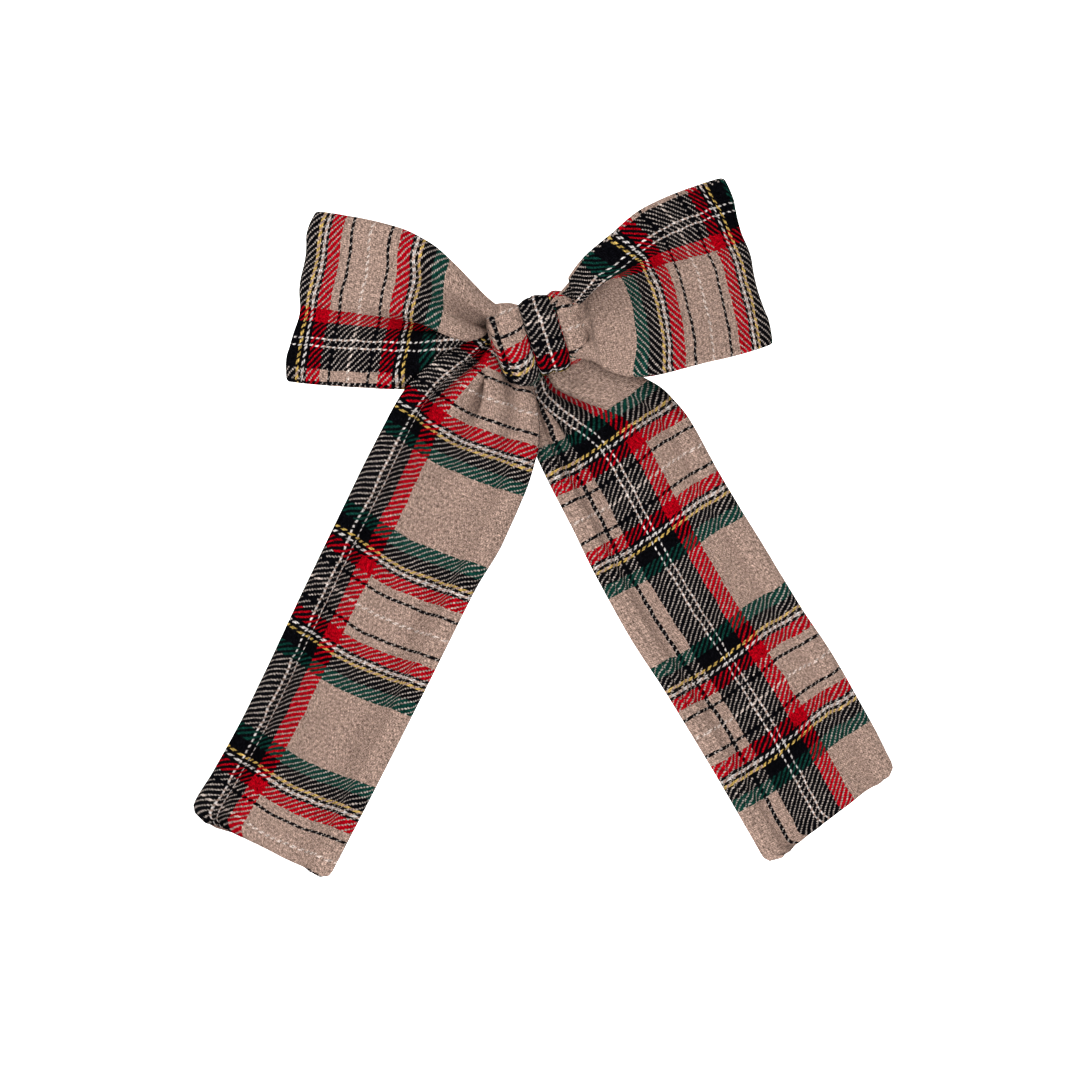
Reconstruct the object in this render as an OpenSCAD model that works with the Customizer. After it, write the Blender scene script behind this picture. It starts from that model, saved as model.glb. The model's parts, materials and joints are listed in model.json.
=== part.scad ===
// Cloth hair bow: two folded loops and two long tails, gathered by thread under a wrapped knot,
// and stitched through a felt pad to a ribbon-lined alligator clip.
// Frame: +Z up as worn, -Y towards the viewer, origin in the middle of the clip's grip.

/* [Loops] */
// Width of the sewn strip that the loops are folded from
loop_w = 42; // [30:1:50]
// Distance from the knot's centre to the left loop's outer fold
left_loop_len = 59; // [46:1:72]
// Distance from the knot's centre to the right loop's outer fold
right_loop_len = 54; // [46:1:72]
// Rise of the left loop's centre line above horizontal, in degrees
left_loop_rise = 9; // [0:1:20]
// Rise of the right loop's centre line above horizontal, in degrees
right_loop_rise = 19; // [5:1:28]
// Bulge of a loop's front layer in front of the line from its neck to its fold
loop_bulge = 8; // [6.5:0.5:11]
// Thickness of one layer of the turned strip, which is two plies of cloth
cloth_t = 1.8; // [1.2:0.1:2.2]
// Height of a loop where it enters the knot
loop_neck_h = 15; // [11:0.5:18]
// Thickness of a loop's gathers where it enters the knot
loop_neck_t = 5; // [4:0.5:6]

/* [Tails] */
// Width of a tail once it has opened out below the knot
tail_w = 37; // [30:1:42]
// Length of a tail from the knot's centre
tail_len = 141; // [80:1:170]
// Thickness of a tail, two plies of brushed cloth with air between
tail_t = 2.4; // [1.6:0.1:3]
// Width of a tail's gathers inside the knot
tail_neck_w = 15; // [10:0.5:18]
// Distance from the knot's centre to the line where a tail starts to swing freely
tail_hinge_at = 34; // [30:1:44]
// Splay of the left tail from vertical, in degrees
left_tail_splay = 25; // [22:1:34]
// Splay of the right tail from vertical, in degrees
right_tail_splay = 30; // [26:1:38]
// Radius of a tail's bottom corners
tail_corner_r = 3; // [1:0.5:8]

/* [Knot] */
// Width of the knot's wrapped band
knot_w = 26; // [22:0.5:30]
// Thickness of the folded band that is wrapped round the gathers
band_t = 2.2; // [1.6:0.1:3]
// How much lower the band's left end hangs than its right end
knot_lobe = 2.5; // [0:0.5:4]
// Radius of the knot's rolled edges
knot_round = 4; // [2.5:0.5:5]
// Diameter of the gathering thread
thread_d = 0.5; // [0.3:0.1:0.8]
// Number of turns of the gathering thread
thread_turns = 4; // [2:1:6]

/* [Backing] */
// Length of the felt pad along the clip
felt_l = 22; // [18:1:25]
// How far the felt pad shows above the clip's base arm, and again below it
felt_margin = 2.6; // [2:0.1:4]
// Thickness of the felt pad
felt_t = 1.2; // [0.8:0.1:2]
// Number of whip stitches along the top of the felt pad, and again along the bottom
stitch_count = 7; // [4:1:9]
// Number of slip stitches that close the band at each end of its seam, above and below the felt
seam_stitches = 3; // [2:1:4]
// Diameter of the stitching thread
stitch_d = 0.6; // [0.4:0.1:0.8]

/* [Clip] */
// Length of the clip's jaws from the pivot to the tip
jaw_len = 37; // [30:1:44]
// Length of the finger tabs beyond the pivot
tab_len = 9; // [7:0.5:12]
// Distance from the middle of the grip to the pivot
pivot_x = 15; // [13.5:0.5:18]
// Width of the clip's base arm
clip_w = 7.8; // [7:0.2:10]
// Width of the jaws at their tip
tip_w = 5.2; // [4:0.2:6.4]
// Length of the jaws' taper from the tip to full width
tip_taper = 22; // [14:1:28]
// Thickness of the clip's steel
steel_t = 0.6; // [0.4:0.05:0.8]
// Thickness of the grosgrain ribbon round the base arm
ribbon_t = 0.35; // [0.25:0.05:0.5]
// Height of the pivot above the gripping face
pivot_y = 3.4; // [3:0.1:4.5]
// Radius of the pivot pin
pin_r = 0.75; // [0.6:0.05:0.9]
// Angle of the jaw's finger tab to the base arm, in degrees
tab_angle = 24; // [20:1:30]
// Number of teeth along each side of the jaw
jaw_teeth = 9; // [5:1:12]
// Distance between the tips of neighbouring teeth
tooth_pitch = 1.9; // [1.4:0.1:2.2]
// Wire diameter of the torsion spring
spring_wire = 0.7; // [0.5:0.05:0.8]
// Number of turns of the torsion spring
spring_turns = 4; // [3:1:4]

/* [Hidden] */

// Clearances
cloth_gap = 0.3;       // between neighbouring pieces of cloth
thread_gap = 0.15;     // between the gathers and the turns of thread
turn_gap = 0.2;        // between neighbouring turns of thread
pin_gap = 0.05;        // between the pin and the jaw's holes
ear_gap = 0.1;         // between the base's ears and the jaw's
tooth_gap = 0.05;      // between the jaw's teeth and the ribbon
seat = 0.02;           // between pieces that are pressed face to face

// Depths, front to back, measured from the gripping face
base_back = -ribbon_t - steel_t;
ribbon_back = base_back - ribbon_t;
knot_back = ribbon_back - felt_t;
thread_room = thread_gap + thread_d + cloth_gap;        // from the gathers to the band
neck_back = knot_back - band_t - thread_room;
neck_front = neck_back - loop_neck_t - cloth_gap - tail_t;
knot_front = neck_front - thread_room - band_t;
knot_depth = knot_back - knot_front;
felt_h = clip_w + 2 * felt_margin;
right_tail_y = neck_back - tail_t / 2;  // the plane that the right tail hangs in
left_tail_y = right_tail_y - tail_t - cloth_gap;        // the left tail hangs in front of it
right_neck_y = neck_front + loop_neck_t / 2;
left_neck_y = neck_back - loop_neck_t / 2;
left_tail_neck_y = neck_front + tail_t / 2;
fold_y = neck_back - loop_neck_t / 2;   // a loop's outer fold lies back, near the head
fold_gap = 1.8;                         // air inside a loop's outer fold
fold_t = 2 * cloth_t + fold_gap;

thread_pitch = thread_d + turn_gap;
thread_run = thread_turns * thread_pitch;

// The gathers' height at the knot's mid-plane, which the thread is wound round
gathers_up = loop_neck_h / 2 / cos(right_loop_rise)
    + thread_run / 2 * tan(right_loop_rise) + thread_gap;
knot_up = gathers_up + thread_room + band_t;
knot_down = knot_up + knot_lobe;

// Where the tails' centre lines cross the knot's centre height
left_tail_x = -7;
right_tail_x = 3;

steps = 14;            // points along each side of a loop's or a gather's outline

function lerp(a, b, t) = a + (b - a) * t;
function ease(t) = t * t * (3 - 2 * t);
function unit_clamp(t) = min(1, max(0, t));

// ---------- Loops ----------
// A loop in its own frame: +X runs out from the knot's centre, along the loop's centre line.
loop_flare = 30;       // distance over which a loop opens from its neck to full width
loop_start = knot_w / 2 - 1;
gathered_len = 6;      // of a loop beyond its neck, where its two layers are pressed together

function loop_half(x) =
    lerp(loop_neck_h / 2, loop_w / 2, sin(90 * unit_clamp((x - loop_start) / loop_flare)));
function loop_share(x, len) = unit_clamp((x - loop_start) / (len - loop_start));
function loop_front(x, len, neck_y) =
    let (t = loop_share(x, len))
    lerp(neck_y - loop_neck_t / 2, fold_y - fold_t / 2, t) - loop_bulge * sin(180 * t);
function loop_back(x, len, neck_y) =
    let (t = loop_share(x, len))
    lerp(neck_y + loop_neck_t / 2, fold_y + fold_t / 2, ease(t));

// Plan of the loop: its layers seen from above
module loop_plan(len, neck_y, start, grow) {
    fold_r = fold_t / 2;
    x_end = len - fold_r;
    xs = [for (i = [0:steps]) lerp(start, x_end, i / steps)];
    polygon(concat(
        [for (x = xs) [x, loop_front(x, len, neck_y) - grow]],
        [for (i = [1:7]) let (a = -90 + 180 * i / 8)
            [x_end + (fold_r + grow) * cos(a), fold_y + (fold_r + grow) * sin(a)]],
        [for (i = [steps:-1:0]) [xs[i], loop_back(xs[i], len, neck_y) + grow]]));
}

// Plan of the hollow between the two layers, open above and below
module loop_hollow_plan(len, neck_y) {
    x_first = loop_start + gathered_len;
    x_last = len - fold_t / 2 - cloth_t / 2;
    xs = [for (i = [0:steps]) lerp(x_first, x_last, i / steps)];
    polygon(concat(
        [for (x = xs) [x, loop_front(x, len, neck_y) + cloth_t]],
        [for (i = [steps:-1:0]) [xs[i], loop_back(xs[i], len, neck_y) - cloth_t]]));
}

// Face of the loop: its outline seen from in front
module loop_face(len, start, grow) {
    xs = [for (i = [0:steps]) lerp(start, len + grow, i / steps)];
    polygon(concat(
        [for (x = xs) [x, loop_half(x) + grow]],
        [for (i = [steps:-1:0]) [xs[i], -loop_half(xs[i]) - grow]]));
}

module loop_solid(len, neck_y, start = cloth_gap / 2, grow = 0, hollow = true) {
    intersection() {
        linear_extrude(height = 2 * loop_w, center = true)
            difference() {
                loop_plan(len, neck_y, start, grow);
                if (hollow) loop_hollow_plan(len, neck_y);
            }
        rotate([90, 0, 0])
            linear_extrude(height = 4 * knot_depth, center = true)
                loop_face(len, start, grow);
    }
}

module left_loop_place() {
    mirror([1, 0, 0]) rotate([0, -left_loop_rise, 0]) children();
}

module right_loop_place() {
    rotate([0, -right_loop_rise, 0]) children();
}

// Both loops end at the knot's mid-plane, so that their necks meet there
module side_half(side) {
    translate([side * (loop_w * 2 + cloth_gap / 2), 0, 0])
        cube([loop_w * 4, loop_w * 4, loop_w * 4], center = true);
}

module left_loop() {
    color("tan") intersection() {
        difference() {
            left_loop_place() loop_solid(left_loop_len, left_neck_y);
            left_gather_solid(cloth_gap);
            right_gather_solid(cloth_gap);
        }
        side_half(-1);
    }
}

module right_loop() {
    color("tan") intersection() {
        difference() {
            right_loop_place() loop_solid(right_loop_len, right_neck_y);
            left_gather_solid(cloth_gap);
            right_gather_solid(cloth_gap);
        }
        side_half(1);
    }
}

// ---------- Tails ----------
// A tail in its own frame: -Z runs down its centre line, X across it.
knuckle_r = tail_t / 2;
gather_end = tail_hinge_at - knuckle_r - cloth_gap;

function tail_half(d) =
    lerp(tail_neck_w / 2, tail_w / 2, sin(90 * unit_clamp(d / tail_hinge_at)));
function gather_y(d, neck_y, hang_y) =
    lerp(neck_y, hang_y, ease(unit_clamp((d - loop_neck_h / 2) / (gather_end - loop_neck_h / 2))));

module gather_face(grow) {
    ds = [for (i = [0:steps]) lerp(0, gather_end, i / steps)];
    polygon(concat(
        [for (d = ds) [tail_half(d) + grow, -d]],
        [for (i = [steps:-1:0]) [-tail_half(ds[i]) - grow, -ds[i]]]));
}

module gather_side(neck_y, hang_y, grow) {
    half = tail_t / 2 + grow;
    ds = [for (i = [0:steps]) lerp(0, gather_end, i / steps)];
    polygon(concat(
        [for (d = ds) [gather_y(d, neck_y, hang_y) + half, -d]],
        [for (i = [steps:-1:0]) [gather_y(ds[i], neck_y, hang_y) - half, -ds[i]]]));
}

// The pinched head of a tail, from inside the knot to the line where the tail hangs free
module gather_solid(neck_y, hang_y, grow) {
    intersection() {
        rotate([90, 0, 0])
            linear_extrude(height = 4 * knot_depth, center = true) gather_face(grow);
        rotate([90, 0, 90])
            linear_extrude(height = 2 * tail_w, center = true) gather_side(neck_y, hang_y, grow);
    }
}

module left_tail_place() {
    translate([left_tail_x, 0, 0]) rotate([0, left_tail_splay, 0]) children();
}

module right_tail_place() {
    translate([right_tail_x, 0, 0]) rotate([0, -right_tail_splay, 0]) children();
}

module left_gather_solid(grow = 0) {
    left_tail_place() gather_solid(left_tail_neck_y, left_tail_y, grow);
}

module right_gather_solid(grow = 0) {
    right_tail_place() gather_solid(right_tail_y, right_tail_y, grow);
}

module left_tail_gather() {
    color("tan") difference() {
        left_gather_solid();
        thread_notch(-1);
    }
}

module right_tail_gather() {
    color("tan") difference() {
        right_gather_solid();
        thread_notch(1);
    }
}

// The hanging part of a tail: flat, with a rounded knuckle on the line that it swings about
module tail_solid(hang_y) {
    translate([0, hang_y, -tail_hinge_at]) {
        rotate([0, 90, 0]) cylinder(r = knuckle_r, h = tail_w, center = true, $fn = 48);
        rotate([90, 0, 0]) linear_extrude(height = tail_t, center = true)
            translate([0, -(tail_len - tail_hinge_at)]) tail_face(tail_len - tail_hinge_at);
    }
}

module tail_face(len) {
    r = tail_corner_r;
    side = tail_w / 2 - r;
    polygon(concat(
        [[-tail_w / 2, len]],
        [for (i = [0:6]) let (a = 180 + 15 * i) [-side + r * cos(a), r + r * sin(a)]],
        [for (i = [0:6]) let (a = 270 + 15 * i) [side + r * cos(a), r + r * sin(a)]],
        [[tail_w / 2, len]]));
}

module left_tail() {
    color("tan") left_tail_place() tail_solid(left_tail_y);
}

module right_tail() {
    color("tan") right_tail_place() tail_solid(right_tail_y);
}

// ---------- Knot ----------
knot_side = knot_w / 2 - knot_round;

// The wrapped band as one rounded block, with its lower left corner pulled down
module knot_block() {
    r = knot_round;
    front = knot_front + r;
    back = knot_back - r;
    hull() {
        for (y = [front, back], x = [-knot_side, knot_side])
            translate([x, y, knot_up - r]) sphere(r = r, $fn = 32);
        translate([-knot_side, front, -knot_down + r]) sphere(r = r, $fn = 32);
        translate([-knot_side, back, -knot_up + r]) sphere(r = r, $fn = 32);
        for (y = [front, back])
            translate([knot_side, y, -knot_up + r]) sphere(r = r, $fn = 32);
    }
}

// A box round the gathers at the knot's mid-plane, grown by a margin
module gathers_box(width, grow) {
    depth = neck_back - neck_front + 2 * (thread_gap + grow);
    translate([0, (neck_front + neck_back) / 2, 0])
        cube([width, depth, 2 * (gathers_up + grow)], center = true);
}

module gathering_thread() {
    color("ivory") for (i = [0:thread_turns - 1])
        translate([(i - (thread_turns - 1) / 2) * thread_pitch, 0, 0])
            difference() {
                gathers_box(thread_d, thread_d);
                gathers_box(2 * thread_d, 0);
            }
}

// The notch that the turns of thread pull into the inner edge of a tail's head, just below the gathers
module thread_notch(side) {
    low = gathers_up + thread_d + cloth_gap;
    high = gathers_up - cloth_gap;
    translate([side * (thread_run + cloth_gap - knot_w) / 2, 0, -(low + high) / 2])
        cube([knot_w, 8 * knot_depth, low - high], center = true);
}

module knot_wrap() {
    color("tan") difference() {
        knot_block();
        left_loop_place() loop_solid(left_loop_len, left_neck_y, -cloth_gap, cloth_gap, false);
        right_loop_place() loop_solid(right_loop_len, right_neck_y, -cloth_gap, cloth_gap, false);
        left_gather_solid(cloth_gap);
        right_gather_solid(cloth_gap);
        gathers_box(thread_run + cloth_gap, thread_d + cloth_gap);
    }
}

// Slip stitches across the band's seam, where its back rounds over above and below the felt
module knot_seam_stitches() {
    reach = 1.6;           // length of a stitch
    slant = 20;            // degrees that it leans
    above_felt = 1.2;      // from the felt's edge to the first stitch
    first = asin(unit_clamp((felt_h / 2 + above_felt - (knot_up - knot_round)) / knot_round));
    last = 50;             // degrees up the band's rounded back to the last stitch
    color("ivory") for (side = [0, 1], i = [0:seam_stitches - 1])
        mirror([0, 0, side])
            translate([0, knot_back - knot_round, knot_up - knot_round])
                rotate([lerp(first, last, i / (seam_stitches - 1)), 0, 0])
                    translate([0, knot_round, 0]) rotate([0, slant, 0]) rotate([0, 90, 0])
                        cylinder(r = stitch_d / 2, h = reach, center = true, $fn = 16);
}

// ---------- Backing ----------
felt_corner = 3;       // radius of the felt pad's corners

module backing_felt() {
    color("saddlebrown") translate([0, ribbon_back - felt_t / 2, 0]) rotate([90, 0, 0])
        linear_extrude(height = felt_t - 2 * seat, center = true) {
            square([felt_l, felt_h - 2 * felt_corner], center = true);
            square([felt_l - 2 * felt_corner, felt_h], center = true);
            for (x = [-1, 1], y = [-1, 1])
                translate([x * (felt_l / 2 - felt_corner), y * (felt_h / 2 - felt_corner)])
                    circle(r = felt_corner, $fn = 48);
        }
}

// A whip stitch: up through the felt, over its edge and down into the knot's band
module whip_stitch() {
    r = stitch_d / 2;
    bite = 0.8;            // depth into the band
    inner = -1.2;          // where the thread enters the felt, from the felt's edge
    outer = r;
    top = ribbon_back + r;
    rotate([90, 0, 0]) {
        translate([0, inner, -top]) cylinder(r = r, h = r + bite, $fn = 16);
        translate([0, outer, -top]) cylinder(r = r, h = r + felt_t + bite, $fn = 16);
    }
    translate([0, top, inner]) cylinder(r = r, h = outer - inner, $fn = 16);
}

module backing_stitches() {
    run = felt_l - 2 * felt_corner;
    color("ivory") for (i = [0:stitch_count - 1], side = [0, 1])
        mirror([0, 0, side])
            translate([((i + 0.5) / stitch_count - 0.5) * run, 0, felt_h / 2]) whip_stitch();
}

// ---------- Clip ----------
// The clip lies along X with its tip at -X; the jaw opens towards +Y.
tip_x = pivot_x - jaw_len;
tab_end = pivot_x + tab_len;
ear_in = clip_w / 2 - 2 * steel_t - ear_gap;     // inner face of the base's ears
ear_out = ear_in + steel_t;                      // outer face of the base's ears
jaw_in = ear_out + ear_gap;                      // inner face of the jaw's ears
jaw_out = jaw_in + steel_t;                      // outer face of the jaw's ears
coil_gap = 0.5;                                  // between the pin and the spring's coil
spring_r = pin_r + coil_gap + spring_wire / 2;
coil_room = 0.25;                                // between the spring's coil and the jaw's back
ear_r = spring_r + spring_wire / 2 + coil_room + steel_t;
ribbon_from_ear = 0.8;                           // between the ribbon's end and the ears
ribbon_end = pivot_x - ear_r - ribbon_from_ear;
base_over = 0.4;                                 // the base's reach beyond the jaw's tip
tab_r = 2.5;                                     // corner radius of the finger tabs
base_ear_r = pin_r + 1.1;                        // half-width and end radius of the base's ears

module side_view(h) {
    linear_extrude(height = h, center = true) children();
}

// Plan outline of an arm: narrow at the tip, full width from the middle on
module arm_plan(w, tip, inset, x_end) {
    half = w / 2 - inset;
    tip_half = tip_w / 2 - inset;
    tip_at = tip + tip_half;
    polygon(concat(
        [for (i = [0:8]) let (a = 90 + 180 * i / 8)
            [tip_at + inset + tip_half * cos(a), tip_half * sin(a)]],
        [[tip + tip_taper, -half], [x_end, -half], [x_end, half], [tip + tip_taper, half]]));
}

module clip_base() {
    color("silver") difference() {
        union() {
            translate([0, base_back + steel_t / 2, 0]) rotate([90, 0, 0])
                linear_extrude(height = steel_t, center = true) {
                    arm_plan(clip_w, tip_x - base_over, 0, tab_end - tab_r);
                    translate([tab_end - tab_r - 0.01, -clip_w / 2 + tab_r])
                        square([tab_r, clip_w - 2 * tab_r]);
                    for (s = [-1, 1]) translate([tab_end - tab_r, s * (clip_w / 2 - tab_r)])
                        circle(r = tab_r, $fn = 48);
                }
            for (s = [-1, 1]) translate([0, 0, s * (ear_in + ear_out) / 2]) base_ear();
        }
        translate([pivot_x, pivot_y, 0]) cylinder(r = pin_r + seat, h = 2 * clip_w, center = true, $fn = 32);
    }
}

module base_ear() {
    rise = pivot_y - base_back - steel_t / 2;      // from the base's steel to the pivot
    side_view(steel_t) {
        translate([pivot_x, pivot_y]) circle(r = base_ear_r, $fn = 48);
        translate([pivot_x - base_ear_r, base_back + steel_t / 2]) square([2 * base_ear_r, rise]);
    }
}

// Side view of the jaw: a flat spine that rises from the tip to the pivot
spine_top = pivot_y + ear_r;
spine_tip = 1.3;                                 // height of the spine at the tip
tooth_h = 0.85;                                  // depth of the teeth
tooth_run = jaw_teeth * tooth_pitch;
wall_r = ear_r - steel_t;                        // radius of the walls' round end at the pivot

module jaw_outer_side() {
    polygon(concat(
        [[tip_x, spine_tip], [pivot_x, spine_top]],
        [for (i = [0:12]) let (a = 90 - 180 * i / 12)
            [pivot_x + wall_r * cos(a), pivot_y + wall_r * sin(a)]],
        [[pivot_x - ear_r, pivot_y - wall_r]],
        [for (i = [jaw_teeth:-1:1]) each [
            [tip_x + i * tooth_pitch, tooth_h],
            [tip_x + (i - 0.5) * tooth_pitch, tooth_gap]]],
        [[tip_x, tooth_gap]]));
}

module jaw_channel_side() {
    polygon([
        [tip_x - 1, spine_tip - steel_t], [tip_x, spine_tip - steel_t],
        [pivot_x, spine_top - steel_t], [pivot_x + 2 * ear_r, spine_top - steel_t],
        [pivot_x + 2 * ear_r, -1], [tip_x - 1, -1]]);
}

// Plan of the jaw, and of the channel inside its side walls
module jaw_plan(inset) {
    arm_plan(2 * jaw_out, tip_x, inset, pivot_x + 2 * ear_r + inset);
}

module clip_jaw() {
    color("silver") difference() {
        union() {
            difference() {
                intersection() {
                    side_view(2 * clip_w) jaw_outer_side();
                    rotate([90, 0, 0]) linear_extrude(height = 4 * spine_top, center = true) jaw_plan(0);
                }
                intersection() {
                    side_view(2 * clip_w) jaw_channel_side();
                    rotate([90, 0, 0]) linear_extrude(height = 4 * spine_top, center = true)
                        jaw_plan(steel_t);
                }
            }
            jaw_tab();
        }
        translate([pivot_x, pivot_y, 0])
            cylinder(r = pin_r + pin_gap, h = 2 * clip_w, center = true, $fn = 32);
    }
}

// The jaw's finger tab, bent up from the top of the spine
module jaw_tab() {
    r = tab_r;
    half = (jaw_in + jaw_out) / 2;
    long = tab_len / cos(tab_angle);
    translate([pivot_x, spine_top, 0]) rotate([0, 0, tab_angle])
        translate([0, -steel_t / 2, 0]) rotate([90, 0, 0])
            linear_extrude(height = steel_t, center = true) {
                translate([-steel_t, -half]) square([long - r + steel_t, 2 * half]);
                translate([long - r - 0.01, -half + r]) square([r, 2 * (half - r)]);
                for (s = [-1, 1]) translate([long - r, s * (half - r)]) circle(r = r, $fn = 48);
            }
}

module clip_pin() {
    head_r = pin_r + 0.65;
    head_t = 0.4;
    shank = 2 * (jaw_out + ear_gap);   // between the heads
    color("silver") translate([pivot_x, pivot_y, 0]) {
        cylinder(r = pin_r, h = shank + 2 * head_t, center = true, $fn = 32);
        for (s = [-1, 1]) translate([0, 0, s * (shank + head_t) / 2])
            cylinder(r = head_r, h = head_t, center = true, $fn = 32);
    }
}

// A folded sleeve of ribbon round the base arm, from its tip to the ears
module clip_ribbon() {
    hem = 0.5;             // the ribbon's edge beyond the arm's, on each side
    fold = 0.3;            // slack in the ribbon's fold round the tip
    wide = clip_w + 2 * (ribbon_t + hem);
    tip = tip_x - base_over;
    color("saddlebrown") difference() {
        translate([0, ribbon_back / 2, 0]) rotate([90, 0, 0])
            linear_extrude(height = -ribbon_back - 2 * seat, center = true)
                arm_outline(wide / 2, tip - ribbon_t - fold, ribbon_end);
        translate([0, base_back + steel_t / 2, 0]) rotate([90, 0, 0])
            linear_extrude(height = steel_t + 2 * seat, center = true)
                arm_outline(clip_w / 2 + seat, tip - seat, ribbon_end + 1);
    }
}

// Straight strip with a round end at -X
module arm_outline(half, tip, x_end) {
    polygon(concat(
        [for (i = [0:12]) let (a = 90 + 180 * i / 12)
            [tip + half + half * cos(a), half * sin(a)]],
        [[x_end, -half], [x_end, half]]));
}

// Torsion spring: one swept tube through a straight leg, the coil and a second leg
spring_pitch = spring_wire + 0.08;
coil_sides = 8;
turn_points = 16;
leg_reach = tab_len - 2;                         // from the pivot to the ends of the spring's legs
leg_gap = 0.1;                                   // between the upper leg and the jaw's tab
leg_low = spring_wire / 2 + seat - ribbon_t;
leg_high = spine_top + leg_reach * tan(tab_angle) - steel_t / cos(tab_angle)
    - spring_wire / 2 - leg_gap;

function coil_point(i) =
    let (n = spring_turns * turn_points, a = -90 - 360 * spring_turns * i / n - 180 * i / n)
    [pivot_x + spring_r * cos(a), pivot_y + spring_r * sin(a),
        spring_pitch * spring_turns * (i / n - 0.5)];
spring_path = concat(
    [[pivot_x + leg_reach, leg_low, -spring_pitch * spring_turns / 2]],
    [for (i = [0:spring_turns * turn_points]) coil_point(i)],
    [[pivot_x + leg_reach, leg_high, spring_pitch * spring_turns / 2]]);

function unit(v) = v / norm(v);
function path_dir(p, i) = unit(p[min(i + 1, len(p) - 1)] - p[max(i - 1, 0)]);
function ring_at(p, i, r) =
    let (d = path_dir(p, i), side = unit(cross(d, [0, 0, 1])), up = cross(side, d))
    [for (k = [0:coil_sides - 1]) let (a = 360 * k / coil_sides)
        p[i] + r * (side * cos(a) + up * sin(a))];

// A tube of radius r along the points of p
module swept_tube(p, r) {
    n = len(p);
    polyhedron(
        points = [for (i = [0:n - 1]) each ring_at(p, i, r)],
        faces = concat(
            [[for (k = [coil_sides - 1:-1:0]) k]],
            [for (i = [0:n - 2], k = [0:coil_sides - 1]) let (a = i * coil_sides, b = (k + 1) % coil_sides)
                [a + k, a + b, a + coil_sides + b, a + coil_sides + k]],
            [[for (k = [0:coil_sides - 1]) (n - 1) * coil_sides + k]]));
}

module clip_spring() {
    color("gray") swept_tube(spring_path, spring_wire / 2);
}

left_loop();
right_loop();
left_tail_gather();
left_tail();
right_tail_gather();
right_tail();
knot_wrap();
knot_seam_stitches();
gathering_thread();
backing_felt();
backing_stitches();
clip_ribbon();
clip_base();
clip_jaw();
clip_pin();
clip_spring();
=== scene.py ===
"""Looks of a plaid flannel hair bow on an alligator clip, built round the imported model.

Lengths in the cloth code are millimetres in the model's own frame and are scaled to metres when a mesh is
made. +X is the viewer's right, +Z is up and -Y faces the viewer.
"""
import json
import math

import bmesh
import bpy
import numpy as np
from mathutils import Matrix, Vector, noise


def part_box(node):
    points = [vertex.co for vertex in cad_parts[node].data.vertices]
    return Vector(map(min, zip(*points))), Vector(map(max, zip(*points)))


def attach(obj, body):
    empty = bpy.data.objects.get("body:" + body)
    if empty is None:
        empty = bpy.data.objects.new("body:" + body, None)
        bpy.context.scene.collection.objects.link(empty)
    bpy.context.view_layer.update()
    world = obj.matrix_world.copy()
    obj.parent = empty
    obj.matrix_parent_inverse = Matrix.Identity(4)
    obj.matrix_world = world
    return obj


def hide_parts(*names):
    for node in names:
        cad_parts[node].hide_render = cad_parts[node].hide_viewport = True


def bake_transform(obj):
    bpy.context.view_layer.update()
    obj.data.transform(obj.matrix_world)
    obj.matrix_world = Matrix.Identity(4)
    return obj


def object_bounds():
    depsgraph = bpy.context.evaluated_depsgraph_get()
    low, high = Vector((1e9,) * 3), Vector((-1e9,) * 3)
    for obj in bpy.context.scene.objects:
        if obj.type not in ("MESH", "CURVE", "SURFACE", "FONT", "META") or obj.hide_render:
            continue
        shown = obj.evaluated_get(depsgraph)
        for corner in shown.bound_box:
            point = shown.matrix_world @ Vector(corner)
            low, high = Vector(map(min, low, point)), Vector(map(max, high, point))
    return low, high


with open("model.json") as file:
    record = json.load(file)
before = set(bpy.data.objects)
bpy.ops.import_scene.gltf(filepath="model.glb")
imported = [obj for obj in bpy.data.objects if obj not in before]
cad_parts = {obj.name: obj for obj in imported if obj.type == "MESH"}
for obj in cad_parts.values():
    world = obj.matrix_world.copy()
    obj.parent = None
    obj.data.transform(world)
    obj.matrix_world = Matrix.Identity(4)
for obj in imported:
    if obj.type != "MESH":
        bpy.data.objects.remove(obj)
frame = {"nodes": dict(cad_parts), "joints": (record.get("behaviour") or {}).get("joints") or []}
CAD_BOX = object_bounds()

MM = 0.001
UV_SCALE = 0.01         # UV units for a millimetre of cloth

# ---------------------------------------------------------------- sizes taken from the frame


def box_mm(node):
    """Lowest and highest corner of a CAD node, in millimetres."""
    low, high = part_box(node)
    return np.array(low) / MM, np.array(high) / MM


KNOT_LOW, KNOT_HIGH = box_mm("knot_wrap")
KNOT_FRONT, KNOT_BACK = KNOT_LOW[1], KNOT_HIGH[1]
LEFT_TAIL_Y = (box_mm("left_tail")[0][1] + box_mm("left_tail")[1][1]) / 2
RIGHT_TAIL_Y = (box_mm("right_tail")[0][1] + box_mm("right_tail")[1][1]) / 2

# The strip that the loops, tails and knot are folded from
STRIP_W = 42.0          # finished width
WARP = 0.46             # pitch of the lengthwise threads, across the strip
WEFT = 0.375            # pitch of the crosswise threads, along the strip
PLY = 1.7               # thickness of the turned strip, two plies of flannel
GATHERED_PLY = 1.0      # thickness where the strip is pressed in the gathers
SEAM_IN = 2.4           # distance of the long seam from the strip's edge
ALLOWANCE = 7.5         # width of the seam allowances inside, from the strip's edges
GROOVE_W = 0.5          # half-width of the line that the long seam sinks into the cloth
GROOVE_DEPTH = 0.45

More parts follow.
